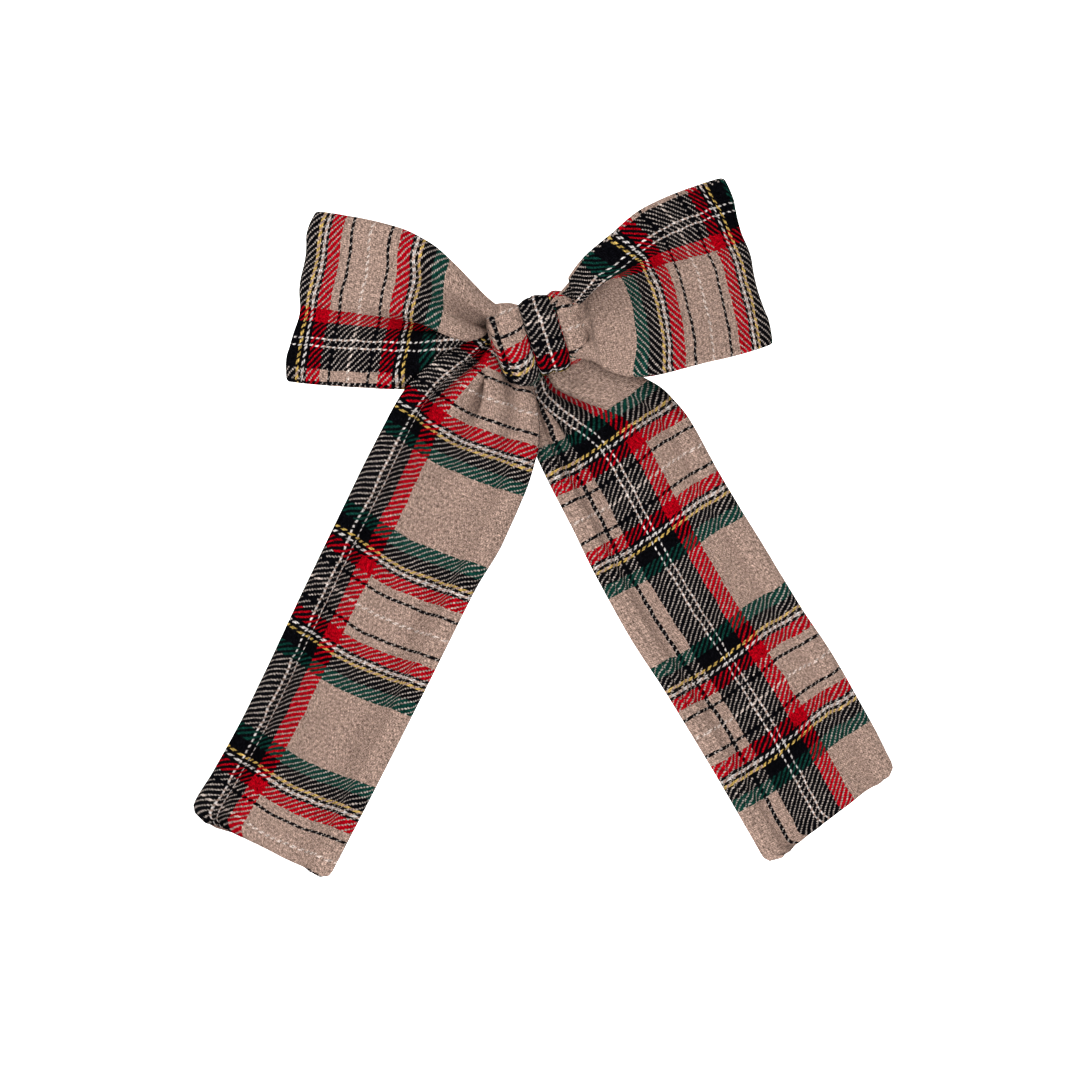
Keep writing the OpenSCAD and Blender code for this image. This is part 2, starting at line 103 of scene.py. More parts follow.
# Yarn colours, linear
TAN = (0.262, 0.180, 0.145)
BLACK = (0.0018, 0.0018, 0.0025)
RED = (0.270, 0.0008, 0.005)
GREEN = (0.003, 0.027, 0.020)
WHITE = (0.400, 0.365, 0.350)
ECRU = (0.420, 0.345, 0.305)
ASHEN = (0.225, 0.205, 0.190)     # tan yarn among dark ones, whose nap dulls it
YELLOW = (0.370, 0.245, 0.065)
DARK_YARN = 0.15        # brightness between the dark yarns' and the tan one's
PALE_YARN = 0.23        # brightness between the tan yarn's and the white and yellow ones'

# Lengthwise threads of one repeat, as (colour, count), from the wide tan stripe's edge with the red one
WARP_SETT = [
    (RED, 9), (BLACK, 9), (WHITE, 1), (BLACK, 3), (WHITE, 1), (BLACK, 12), (TAN, 6), (BLACK, 2),
    (TAN, 14), (BLACK, 2), (TAN, 60)]
# Crosswise threads from the middle of the thin white line to the middle of the big tan square
WEFT_SETT = [
    (ECRU, 1), (TAN, 12), (BLACK, 2), (TAN, 6), (RED, 9), (BLACK, 2), (WHITE, 2), (BLACK, 2),
    (YELLOW, 2), (BLACK, 9), (GREEN, 9), (TAN, 27)]

# ---------------------------------------------------------------- curves


def smooth_curve(points, x):
    """Smooth curve through (x, y) points that doesn't overshoot them."""
    px = np.array([p[0] for p in points], float)
    py = np.array([p[1] for p in points], float)
    step = np.diff(px)
    slope = np.diff(py) / step
    tangent = np.empty_like(py)
    tangent[0], tangent[-1] = slope[0], slope[-1]
    for i in range(1, len(px) - 1):
        a, b = slope[i - 1], slope[i]
        tangent[i] = 0 if a * b <= 0 else 2 * a * b / (a + b)
    x = np.clip(x, px[0], px[-1])
    k = np.clip(np.searchsorted(px, x, side="right") - 1, 0, len(step) - 1)
    t = (x - px[k]) / step[k]
    t2, t3 = t * t, t * t * t
    return (
        py[k] * (2 * t3 - 3 * t2 + 1) + tangent[k] * step[k] * (t3 - 2 * t2 + t)
        + py[k + 1] * (3 * t2 - 2 * t3) + tangent[k + 1] * step[k] * (t3 - t2))


def ease(t):
    """Smooth step from 0 to 1."""
    t = np.clip(t, 0, 1)
    return t * t * (3 - 2 * t)


# ---------------------------------------------------------------- pleated strips

COLUMNS = 72            # mesh columns across one face of the strip
EDGE_POINTS = 5         # mesh points round each folded edge
BACK_SEAM = -EDGE_POINTS - 6    # a long seam that is out of sight behind the strip
EVEN_OVER = 14          # columns on either side that a thread's length is evened out over
SHARPEST = 3.1          # most that a pleat's slopes are scaled by


def valley(place, half, near, far, fade):
    """A furrow in the cloth, or a ridge if its weights are negative.

    place and half: its middle and half-width across the cloth. near and far: its weight at the knot and
    further out than fade.
    """
    return place, half, near, far, fade, lambda t: t * np.exp(0.5 * (1 - t * t))


def tuck(place, half, near, far, fade):
    """A fold that doubles the cloth back under itself."""
    return place, half, near, far, fade, lambda t: np.exp(-t**4)


def pleat_rows(folds, low, high, reach, depth_limit):
    """Cross-sections of cloth that keeps its width while it is squeezed between low and high.

    Returns the place across and the height of every column, row by row.
    """
    u = np.linspace(-STRIP_W / 2, STRIP_W / 2, COLUMNS + 1)
    bend = np.zeros((len(reach), len(u)))
    for place, half, near, far, fade, shape in folds:
        weight = near + (far - near) * ease(reach / fade)
        bend += weight[:, None] * shape((u - place) / half)[None, :]
    du = u[1] - u[0]
    span = np.clip(high - low, STRIP_W * 0.5, STRIP_W * 0.999)

    def run(slope):
        start = np.zeros((len(reach), 1))
        return np.concatenate([start, np.cumsum((slope[:, 1:] + slope[:, :-1]) / 2 * du, axis=1)], axis=1)

    small, large = np.zeros(len(reach)), np.full(len(reach), SHARPEST)
    for _ in range(30):
        middle = (small + large) / 2
        wide = run(np.cos(middle[:, None] * bend))[:, -1] > span
        small = np.where(wide, middle, small)
        large = np.where(wide, large, middle)
    place = run(np.cos(small[:, None] * bend))
    place *= ((high - low) / place[:, -1])[:, None]
    height = run(np.sin(small[:, None] * bend))
    lean = (height[:, -1] - height[:, 0])[:, None] * np.linspace(0, 1, len(u))[None, :]
    height = height - 0.7 * lean
    height -= height.mean(axis=1)[:, None]
    limit = depth_limit[:, None]
    return place + low[:, None], limit * np.tanh(height / limit)


def surface_normals(points):
    """Unit normals of a grid of points."""
    rows = np.gradient(points, axis=0)
    columns = np.gradient(points, axis=1)
    normal = np.cross(rows, columns)
    return normal / np.maximum(np.linalg.norm(normal, axis=2), 1e-9)[..., None]


def thread_lengths(points, ease_between=0.5):
    """Distance along each lengthwise thread from the first row, evened out between neighbours.

    ease_between: share of the difference in length that the threads keep.
    """
    step = np.linalg.norm(np.diff(points, axis=0), axis=2)
    run = np.concatenate([np.zeros((1, points.shape[1])), np.cumsum(step, axis=0)])
    weights = np.hanning(2 * EVEN_OVER + 3)[1:-1]
    padded = np.pad(run, ((0, 0), (EVEN_OVER, EVEN_OVER)), mode="edge")
    even = sum(w * padded[:, k:k + run.shape[1]] for k, w in enumerate(weights)) / weights.sum()
    mean = even.mean(axis=1)[:, None]
    return mean + ease_between * (even - mean)


def wrinkle(points, seed, size, depth):
    """Small smooth dents over a surface, the same on every run."""
    flat = points.reshape(-1, 3)
    offset = Vector((seed * 7.3, seed * 3.1, seed * 5.7))
    value = [noise.noise(Vector(p) / size + offset) for p in flat]
    return np.array(value).reshape(points.shape[:2]) * depth


def turned_strip(name, points, flip, thick, weave_u, weave_v, seam=0, closed=False):
    """A closed mesh for a turned strip, from the points of its middle surface.

    flip: 1 or -1, so that the first face is the outer one. weave_u: place of each column across the sett.
    weave_v: place of each point along it. seam: where the sett doesn't match at the long seam, as a column
    of the first face, or as a negative number counted back from the first column, round the edge.
    closed: the last row joins the first, as on a band.
    """
    rows, columns = points.shape[:2]
    if closed:
        wrapped = np.concatenate([points[-2:-1], points, points[1:2]])
        normal = surface_normals(wrapped)[1:-1] * flip
    else:
        normal = surface_normals(points) * flip
    half = thick[..., None] / 2
    outer = points + normal * half
    inner = points - normal * half

    def edge(column, neighbour):
        out = points[:, column] - points[:, neighbour]
        out -= (out * normal[:, column]).sum(1)[:, None] * normal[:, column]
        out /= np.maximum(np.linalg.norm(out, axis=1), 1e-9)[:, None]
        arc = []
        for k in range(1, EDGE_POINTS + 1):
            a = math.pi * k / (EDGE_POINTS + 1)
            turned = math.cos(a) * normal[:, column] + math.sin(a) * out
            arc.append(points[:, column] + half[:, column] * turned)
        return arc

    ring = [outer[:, c] for c in range(columns)] + edge(-1, -2)
    ring += [inner[:, c] for c in range(columns - 1, -1, -1)] + edge(0, 1)[::-1]
    count = len(ring)
    vertices = np.stack(ring, axis=1)
    face_steps = np.diff(weave_u)
    way = np.sign(face_steps.sum())
    turn_steps = np.full(EDGE_POINTS + 1, way * math.pi * PLY / 2 / (EDGE_POINTS + 1))
    steps = np.concatenate([face_steps, turn_steps, face_steps[::-1], turn_steps])
    place = weave_u[0] + np.concatenate([[0], np.cumsum(steps)])
    total = place[-1] - place[0]
    face_column = list(range(columns))
    column_of = face_column + [columns - 1] * EDGE_POINTS + face_column[::-1] + [0] * EDGE_POINTS

    faces, uvs = [], []
    last = rows - 1
    for r in range(last):
        below = 0 if closed and r == last - 1 else r + 1
        for k in range(count):
            k2 = (k + 1) % count
            faces.append([r * count + k, r * count + k2, below * count + k2, below * count + k])
            if seam < 0:
                across = -total if k >= count + seam else 0
            else:
                across = total if k < seam else 0
            here = place[k] + across, place[k + 1] + across
            c, c2 = column_of[k], column_of[k2]
            uvs += [
                (here[0], weave_v[r, c]), (here[1], weave_v[r, c2]),
                (here[1], weave_v[r + 1, c2]), (here[0], weave_v[r + 1, c])]
    if not closed:
        back = 2 * columns + EDGE_POINTS - 1
        for r in (0, last):
            base = r * count
            caps = [
                [base + k, base + k + 1, base + back - k - 1, base + back - k] for k in range(columns - 1)]
            caps.append([base + k for k in range(columns - 1, columns + EDGE_POINTS + 1)])
            caps.append([base + k for k in range(back, count)] + [base])
            for cap in caps:
                faces.append(cap)
                uvs += [(place[v - base], weave_v[r, column_of[v - base]]) for v in cap]

    mesh = bpy.data.meshes.new(name)
    kept = vertices[:-1] if closed else vertices
    mesh.from_pydata((kept.reshape(-1, 3) * MM).tolist(), [], faces)
    layer = mesh.uv_layers.new(name="cloth")
    layer.data.foreach_set("uv", (np.array(uvs, float) * UV_SCALE).ravel())
    mesh.update()
    piece = bpy.data.objects.new(name, mesh)
    bpy.context.scene.collection.objects.link(piece)
    turn_outward(piece)
    smooth(piece)
    return piece


def turn_outward(piece):
    """Turns every face of a closed mesh outward."""
    work = bmesh.new()
    work.from_mesh(piece.data)
    bmesh.ops.recalc_face_normals(work, faces=work.faces)
    work.to_mesh(piece.data)
    work.free()


def smooth(piece):
    """Smooth shading on every face."""
    piece.data.polygons.foreach_set("use_smooth", [True] * len(piece.data.polygons))
    piece.data.update()


def strip_thickness(near, far, reach, fade):
    """Thickness over the strip: pressed thin in the gathers, fuller over the seam allowances at its edges."""
    u = np.linspace(-STRIP_W / 2, STRIP_W / 2, COLUMNS + 1)
    edge = ease((np.abs(u) - (STRIP_W / 2 - ALLOWANCE)) / 2.0)
    body = near + (far - near) * ease(reach / fade)
    return body[:, None] * (1 + 0.22 * edge[None, :])


def seam_groove(points):
    """Sinks a narrow line in the middle surface where the long seam runs."""
    u = np.linspace(-STRIP_W / 2, STRIP_W / 2, COLUMNS + 1)
    t = (u - (SEAM_IN - STRIP_W / 2)) / GROOVE_W
    return points - surface_normals(points) * (GROOVE_DEPTH * np.exp(-t * t))[None, :, None]


# ---------------------------------------------------------------- tails

TAIL_ROW = 1.2          # distance between mesh rows along a tail
HEM = 2.2               # distance over which a tail thins to its bottom edge


def tail_surface(side, origin_x, splay, length, low_points, high_points, folds, depth_points, lift_points,
                 waves, slant, corners, seed):
    """Middle surface of one tail, from inside the knot to its bottom edge.

    low_points, high_points and depth_points: place of the edges and of the middle's depth at distances down.
    lift_points: how far the tail's low edge comes forward of its middle. waves: (size, period, phase, tilt).
    slant: how far one bottom corner hangs below the other. corners: radii of the bottom corners.
    """
    start = -1.0
    count = int((length - start) / TAIL_ROW)
    reach = np.linspace(start, length, count)
    low, high = smooth_curve(low_points, reach), smooth_curve(high_points, reach)
    limit = smooth_curve([(-1, 1.2), (7, 1.7), (13, 2.6), (20, 3.8), (30, 5)], reach)
    place, height = pleat_rows(folds, low, high, reach, limit)
    # round the bottom corners
    left = length - reach
    inset_low, inset_high = (
        np.where(left < r, r - np.sqrt(np.maximum(r**2 - (r - left) ** 2, 0)), 0) for r in corners)
    share = (place - low[:, None]) / (high - low)[:, None]
    place = place + inset_low[:, None] * (1 - share) - inset_high[:, None] * share
    down = reach[:, None] + slant * place * (reach / length)[:, None] ** 3
    depth = smooth_curve(depth_points, reach)[:, None] - height
    depth = depth - smooth_curve(lift_points, reach)[:, None] * ease((4 - place) / 14)
    u = np.linspace(-1, 1, COLUMNS + 1)[None, :]
    for size, period, phase, tilt in waves:
        grow = ease((reach - 25) / 40)[:, None]
        depth = depth + size * grow * np.sin(2 * math.pi * (reach[:, None] + tilt * u) / period + phase)
    a = math.radians(splay)
    x = origin_x + side * down * math.sin(a) + place * math.cos(a)
    z = -down * math.cos(a) + side * place * math.sin(a)
    points = np.stack([x, depth, z], axis=2)
    far = ease(reach / 30)[:, None]
    points[..., 1] += wrinkle(points, seed, 9.0, 0.9) * far + wrinkle(points, seed + 4, 3.2, 0.35) * far
    return points, reach


def tail_thickness(reach, length):
    """Thickness of a tail, thin in the gathers and rounded off at its bottom edge."""
    thick = strip_thickness(GATHERED_PLY, PLY, reach, 26)
    return thick * (0.35 + 0.65 * ease((length - reach) / HEM))[:, None]


def tail_weave(points, reach, first, pivot):
    """Weave coordinates of a tail, the sett running back from first and the crosswise threads from pivot."""
    across = first - np.linspace(0, STRIP_W, COLUMNS + 1)
    along = thread_lengths(points)
    at_pivot = np.array([np.interp(pivot, reach, along[:, c]) for c in range(along.shape[1])])
    return across, along.mean(axis=1)[0] - (along - at_pivot.mean())


def left_tail():
    low = [(-1, -4.5), (2.5, -6.8), (9.5, -11.4), (18, -15.7), (28, -18), (46, -19.1), (84, -19.5),
           (113, -19.8), (131, -20.9), (140, -21.9), (143, -21.6)]
    high = [(-1, 1.5), (7, 6), (12.5, 11.4), (19, 15.5), (25, 17.4), (35, 18.7), (48, 18.9), (62, 17.6),
            (90, 16.8), (118, 15.9), (143, 14.9)]
    folds = [
        valley(-18.0, 3.0, -0.7, -0.3, 60), valley(-11.5, 2.6, 0.6, 0.0, 40),
        valley(-6.0, 3.0, -0.8, 0.0, 30), valley(-0.5, 2.6, 1.5, 0.05, 28),
        valley(7.0, 4.2, -1.0, -0.1, 40), valley(14.0, 2.6, 0.5, 0.0, 24),
        valley(18.5, 3.0, -0.6, -0.4, 60)]
    depth = [(-1, -9.0), (8, -9.6), (15, -11.6), (24, -11.6), (40, LEFT_TAIL_Y), (143, LEFT_TAIL_Y)]
    waves = [(1.3, 88, 0.4, 14), (0.5, 37, 2.0, -9)]
    lift = [(-1, 0), (3, 1.0), (7, 4.0), (14, 6.0), (22, 6.4), (30, 4.0), (42, 0.6), (60, 0), (143, 0)]
    length = 143.0
    points, reach = tail_surface(
        side=-1, origin_x=-7.0, splay=25, length=length, low_points=low, high_points=high, folds=folds,
        depth_points=depth, lift_points=lift, waves=waves, slant=0.0, corners=(3.2, 1.3), seed=1)
    thick = tail_thickness(reach, length)
    across, along = tail_weave(points, reach, 14.6, 77.0)
    return turned_strip("left_tail_cloth", points, 1, thick, across, along, seam=BACK_SEAM)


def right_tail():
    low = [(-1, -7), (8, -13), (16, -16.2), (23.5, -17.4), (31.5, -18.1), (44, -18.7), (58, -19.6),
           (74, -19.9), (92, -19), (120, -18.5), (143, -18.6)]
    high = [(-1, 0.5), (7, 4.4), (12, 7.2), (20.5, 13.7), (27, 17), (37, 18.6), (52, 18.2), (72, 18.8),
            (91, 19.3), (109, 20.3), (124, 20.1), (143, 19)]
    folds = [
        valley(-18.5, 2.0, -0.6, -0.3, 50), valley(-15.0, 1.6, 0.7, 0.1, 30),
        valley(-11.8, 1.8, -0.6, 0.0, 30), valley(-8.2, 1.9, 1.5, 0.05, 34),
        valley(-3.0, 3.0, -0.7, 0.0, 30), valley(4.0, 2.4, 0.8, 0.0, 30),
        valley(10.0, 3.4, -0.6, 0.0, 34), valley(18.5, 3.4, -0.5, -0.4, 60)]
    depth = [(-1, RIGHT_TAIL_Y), (20, RIGHT_TAIL_Y - 0.4), (40, RIGHT_TAIL_Y), (143, RIGHT_TAIL_Y)]
    waves = [(1.4, 96, 2.6, -16), (0.6, 41, 0.7, 10)]
    lift = [(-1, 0), (143, 0)]
    length = 140.3
    points, reach = tail_surface(
        side=1, origin_x=3.0, splay=30, length=length, low_points=low, high_points=high, folds=folds,
        depth_points=depth, lift_points=lift, waves=waves, slant=-0.138, corners=(3.0, 1.2), seed=2)
    points = seam_groove(points)
    thick = tail_thickness(reach, length)
    seam = round(SEAM_IN / STRIP_W * COLUMNS)
    across, along = tail_weave(points, reach, 27.6, 43.3)
    return turned_strip("right_tail_cloth", points, 1, thick, across, along, seam=seam)


# ---------------------------------------------------------------- loops

LOOP_ROW = 1.1          # distance between mesh rows round a loop
FOLD_R = 2.5            # radius of a loop's outer fold, to the middle of the cloth
LOOP_START = 2.0        # where a loop's layers begin inside the knot
NECK_FRONT = 2.2        # how far the front layer lies before the neck's middle, at the knot
NECK_BACK = 2.6         # how far the back layer lies behind it
TURN_ROWS = 14.0        # rows over which the front layer's folds give way to the back layer's
PRESS_LINE = 17.5       # sum of the distances out and up where the crossing tail stops pressing


def loop_surface(side, rise, length, low_points, high_points, front_folds, back_folds, neck_y, fold_y, bulge,
                 press, fold_bow, fold_slant, seed):
    """Middle surface of one loop: out along the front layer, round the fold and back behind.

    rise: angle of the loop above the level, in degrees. neck_y and fold_y: depth at the knot and at the
    outer fold. bulge: how far the front layer stands out between them. press: how far the tail that crosses
    the front layer's lower corner pushes it back. fold_bow and fold_slant: how the outer fold bows and leans.
    """
    end = length - FOLD_R
    t = np.linspace(0, 1, 400)
    x_front = LOOP_START + (end - LOOP_START) * t
    rise_in = ease((t - 0.10) / 0.34)
    front = neck_y - NECK_FRONT * (1 - t) - FOLD_R * t - bulge * rise_in * np.sin(math.pi * t**0.8)
    front = front + (fold_y - neck_y) * t
    back = neck_y + NECK_BACK * (1 - t) + FOLD_R * t + (fold_y - neck_y) * t + 0.8 * np.sin(math.pi * t)
    a = np.linspace(-math.pi / 2, math.pi / 2, 60)[1:-1]
    plan_x = np.concatenate([x_front, end + FOLD_R * np.cos(a), x_front[::-1]])
    plan_y = np.concatenate([front, fold_y + FOLD_R * np.sin(a), back[::-1]])
    step = np.hypot(np.diff(plan_x), np.diff(plan_y))
    run = np.concatenate([[0], np.cumsum(step)])
    count = int(run[-1] / LOOP_ROW)
    at = np.linspace(0, run[-1], count)
    x, y = np.interp(at, run, plan_x), np.interp(at, run, plan_y)
    tangent = np.stack([np.gradient(x), np.gradient(y)], axis=1)
    for _ in range(3):
        tangent[1:-1] = (tangent[:-2] + 2 * tangent[1:-1] + tangent[2:]) / 4
    tangent /= np.linalg.norm(tangent, axis=1)[:, None]
    outward = np.stack([tangent[:, 1], -tangent[:, 0]], axis=1)
    fold_at = int(np.argmax(x))
    behind = ease((np.arange(count) - fold_at) / TURN_ROWS + 0.5)
    low, high = smooth_curve(low_points, x), smooth_curve(high_points, x)
    low, high = low + 0.5 * behind, high - 0.5 * behind
    limit = smooth_curve([(2, 1.4), (9, 2.0), (16, 3.4), (26, 6.5), (60, 8)], x)
    place_f, height_f = pleat_rows(front_folds, low, high, x, limit)
    place_b, height_b = pleat_rows(back_folds, low, high, x, 0.3 * limit)
    mix = behind[:, None]
    place, height = place_f * (1 - mix) + place_b * mix, height_f * (1 - mix) + height_b * mix
    px = x[:, None] + outward[:, :1] * height
    py = y[:, None] + outward[:, 1:] * height
    pressed = ease((PRESS_LINE - x[:, None] - place) / 8) * ease((x[:, None] - 5) / 7)
    py = py + press * pressed * (1 - mix)
    share = np.clip(x / length, 0, 1)[:, None] ** 3
    px = px + share * (fold_bow * (1 - (place / (STRIP_W / 2)) ** 2) + fold_slant * place)
    a = math.radians(rise)
    world_x = side * (px * math.cos(a) - place * math.sin(a))
    world_z = px * math.sin(a) + place * math.cos(a)
    points = np.stack([world_x, py, world_z], axis=2)
    soft = ease((x - 12) / 12)[:, None]
    points[..., 1] += wrinkle(points, seed, 8.0, 0.8) * soft + wrinkle(points, seed + 4, 3.0, 0.3) * soft
    return points, x


def loop_weave(points, x, first, way, pivot, slips, slip_share, ease_between):
    """Weave coordinates of a loop, from its lower edge up, with the crosswise threads counted from pivot.

    slips: how far the crosswise threads are pulled out along the loop, as (distance from the knot, slip).
    slip_share: the share of that at (place above the loop's lower edge, share).
    """
    across = np.linspace(0, STRIP_W, COLUMNS + 1)
    slip = smooth_curve(slips, x)[:, None] * smooth_curve(slip_share, across)[None, :]
    along = thread_lengths(points, ease_between)
    fold = int(np.argmax(x))
    at_pivot = np.interp(pivot, x[:fold], along.mean(axis=1)[:fold])
    return first + way * across, way * (along - at_pivot - slip)


BACK_FOLDS = [
    valley(-17.0, 4.0, -0.8, -0.2, 40), valley(-8.0, 3.6, 1.0, 0.0, 36), valley(1.0, 3.8, -1.0, 0.0, 36),
    valley(9.5, 3.6, 1.0, 0.0, 36), valley(17.0, 4.0, -0.8, -0.2, 40)]


def left_loop():
    low = [(2, -5), (10, -7), (15, -10.5), (22, -15), (30, -17.6), (45, -19.4), (60, -20.4)]
    high = [(2, 3), (9, 4.2), (14, 6.3), (19, 9.5), (24.5, 13.3), (30.5, 17.1), (38.5, 19.7), (49, 20.9),
            (60, 21.4)]
    front = [
        valley(-18.0, 2.8, -0.5, 0.0, 40), valley(-14.0, 2.4, 0.5, 0.0, 30), valley(-9.6, 3.0, -0.5, 0.0, 34),
        valley(-4.0, 3.2, 1.2, 0.45, 46), valley(3.4, 4.4, -1.0, -0.1, 46), valley(11.0, 3.2, 0.3, 0.0, 24),
        valley(17.5, 3.8, -0.9, -0.2, 50)]
    points, x = loop_surface(
        side=-1, rise=9, length=59.8, low_points=low, high_points=high, front_folds=front,
        back_folds=BACK_FOLDS, neck_y=-9.2, fold_y=-8.2, bulge=7.5, press=5.5, fold_bow=1.4,
        fold_slant=-0.01, seed=11)
    thick = strip_thickness(0.6, PLY, x, 30)
    across, along = loop_weave(
        points, x, first=18.9, way=-1, pivot=44.8, slips=[(0, 0), (60, 0)], slip_share=[(0, 0), (42, 0)],
        ease_between=0.5)
    return turned_strip("left_loop_cloth", points, -1, thick, across, along, seam=BACK_SEAM)


def right_loop():
    low = [(2, -6), (10, -9.3), (14, -13.7), (19.5, -17), (25.5, -18.3), (36, -19.1), (46, -19.9),
           (56, -20.2)]
    high = [(2, 5), (9, 8.3), (14.5, 11.6), (21, 14.8), (33.5, 20.1), (43, 21.4), (56, 22.1)]
    front = [
        valley(-17.0, 3.0, -0.2, 0.0, 26), valley(-11.0, 2.4, 0.25, 0.0, 20),
        valley(-6.0, 2.2, -0.25, 0.0, 20), valley(-2.0, 2.0, 0.2, 0.0, 18),
        tuck(9.0, 5.6, 2.2, 0.10, 54), valley(1.6, 3.0, -0.2, -0.3, 50)]
    points, x = loop_surface(
        side=1, rise=19, length=54.8, low_points=low, high_points=high, front_folds=front,
        back_folds=BACK_FOLDS, neck_y=-10.8, fold_y=-8.2, bulge=7.5, press=0, fold_bow=0.9,
        fold_slant=0.045, seed=12)
    thick = strip_thickness(GATHERED_PLY, PLY, x, 24)
    across, along = loop_weave(
        points, x, first=-25.7, way=1, pivot=38.6, slips=[(0, 7), (27, 5.8), (54, 1.6)],
        slip_share=[(0, 0), (12, 0.7), (22, 1), (42, -0.3)], ease_between=0.15)
    return turned_strip("right_loop_cloth", points, 1, thick, across, along, seam=BACK_SEAM)


# ---------------------------------------------------------------- knot

KNOT_LEAN = 18          # degrees that the band leans, its top towards the left


def knot():
    """The folded band round the middle: a rolled edge, a left panel, a raised ridge and a right panel."""
    count = 132
    columns = 110
    turn = np.linspace(0, 2 * math.pi, count)
    # from the top, down the front, under and up the back, as a rounded rectangle
    up, front = np.cos(turn), np.sin(turn)
    squareness = 2 / 3.2
    up = np.sign(up) * np.abs(up) ** squareness
    front = np.sign(front) * np.abs(front) ** squareness
    # (place across the band, height towards the viewer, place in the sett)
    profile = [
        (-11.6, -3.6, 30.2), (-11.4, -2.2, 28.6), (-10.7, -1.4, 27.2), (-10.0, -1.7, 26.3),
        (-9.6, -2.5, 25.6), (-9.1, -1.9, 25.2), (-7.0, -1.2, 23.4), (-4.4, -1.4, 20.9), (-2.9, -1.9, 19.2),
        (-2.5, -2.4, 15.0),
        (-2.2, -0.9, 13.2), (-1.2, 0.2, 12.0), (-0.1, 0.1, 10.9), (0.5, -0.3, 10.0), (1.0, 0.5, 8.9),
        (2.2, 1.0, 7.6), (3.6, 0.5, 5.6), (4.5, -0.7, 4.0), (4.9, -2.2, 1.0), (5.2, -1.6, -0.4),
        (6.2, -0.7, -1.4), (8.2, -0.8, -3.4), (10.0, -1.7, -5.4), (10.9, -2.9, -7.0), (11.1, -4.0, -8.2)]
    share = np.linspace(0, len(profile) - 1, columns + 1)
    step = np.arange(len(profile))
    place, height, sett = (
        smooth_curve([(k, row[i]) for k, row in zip(step, profile)], share) for i in range(3))
    top = [(-11.6, 7.5), (-10.6, 10.2), (-9.4, 11.0), (-5.2, 10.2), (-2.4, 9.0), (0.4, 9.5), (3.4, 8.8),
           (6.2, 9.5), (9.6, 7.8), (11.1, 5.0)]
    bottom = [(-11.6, 5.6), (-11.2, 7.2), (-9.6, 10.1), (-7.6, 11.2), (-5.2, 10.8), (-1.8, 9.4), (1, 9.0),
              (3.6, 9.3), (6, 8.9), (9.1, 7.8), (11.1, 4.4)]
    reach_up, reach_down = smooth_curve(top, place), smooth_curve(bottom, place)
    q = np.where(up[:, None] > 0, reach_up[None, :], reach_down[None, :]) * up[:, None]
    middle = (KNOT_FRONT + KNOT_BACK) / 2
    half = (KNOT_BACK - KNOT_FRONT) / 2 - PLY / 2
    # the profile stands out along the band's own outline, less so at the back
    stand = height[None, :] * np.where(front > 0, 1, 0.35)[:, None]
    y = middle - half * front[:, None] - stand * front[:, None]
    q = q + 0.5 * stand * up[:, None]
    a = math.radians(KNOT_LEAN)
    bow = 1.0 - (q / 10) ** 2
    across = place[None, :] + 0.5 * bow * np.clip(place[None, :] / 5, -0.4, 1)
    x = across * math.cos(a) - q * math.sin(a)
    z = across * math.sin(a) + q * math.cos(a)
    points = np.stack([x, y, z], axis=2)
    bump = wrinkle(points, 21, 4.5, 0.55)
    points[..., 1] -= bump * front[:, None]
    points[-1] = points[0]
    thick = np.full(points.shape[:2], 1.1)
    # each panel's crosswise threads are out of step with its neighbours', as the folds leave them
    pivots = [(-11.6, 8.0), (-2.8, 8.0), (-1.9, 3.3), (4.4, 3.3), (5.4, -0.85), (11.1, -0.85)]
    pivot_q = smooth_curve(pivots, place)
    along = thread_lengths(points)
    at_front = int(np.argmax(front))
    q_front = q[: at_front * 2]
    start = np.array([
        np.interp(-pivot_q[c], -q_front[:, c], along[: at_front * 2, c]) for c in range(columns + 1)])
    weave_v = -(along - start[None, :])
    cloth = turned_strip("knot_cloth", points, 1, thick, sett, weave_v, closed=True)
    return cloth, knot_stitches(points, place)


def knot_stitches(points, place):
    """Slip stitches that close the band's seam, lying on the back of the knot above and below the felt."""
    normal = surface_normals(points)
    rows = len(points)
    stitches = []
    for quarter in (0.815, 0.845, 0.875, 0.655, 0.685, 0.71):
        row = int(quarter * rows)
        ends = []
        for side in (-1, 1):
            column = int(np.argmin(np.abs(place - side * 0.9)))
            shift = row + side
            ends.append((points[shift, column], normal[shift, column]))
        (a, na), (b, nb) = ends
        path = []
        for k in range(9):
            t = k / 8
            lift = 0.35 + 0.42 * math.sin(math.pi * t)
            path.append(a * (1 - t) + b * t + (na * (1 - t) + nb * t) * lift)
        stitches.append(path)
    return thread_mesh("knot_stitches", stitches, 0.3)


def gathering_thread():
    """Four turns of thread that gather the loops and tails inside the knot."""
    turns, pitch, steps = 4, 0.75, 30
    path = []
    for k in range(turns * steps + 1):
        a = 2 * math.pi * k / steps
        x = pitch * (k / steps - turns / 2)
        path.append((x, (KNOT_FRONT + KNOT_BACK) / 2 + 4.6 * math.cos(a), 6.6 * math.sin(a)))
    return thread_mesh("gathering_thread_turns", [path], 0.3)


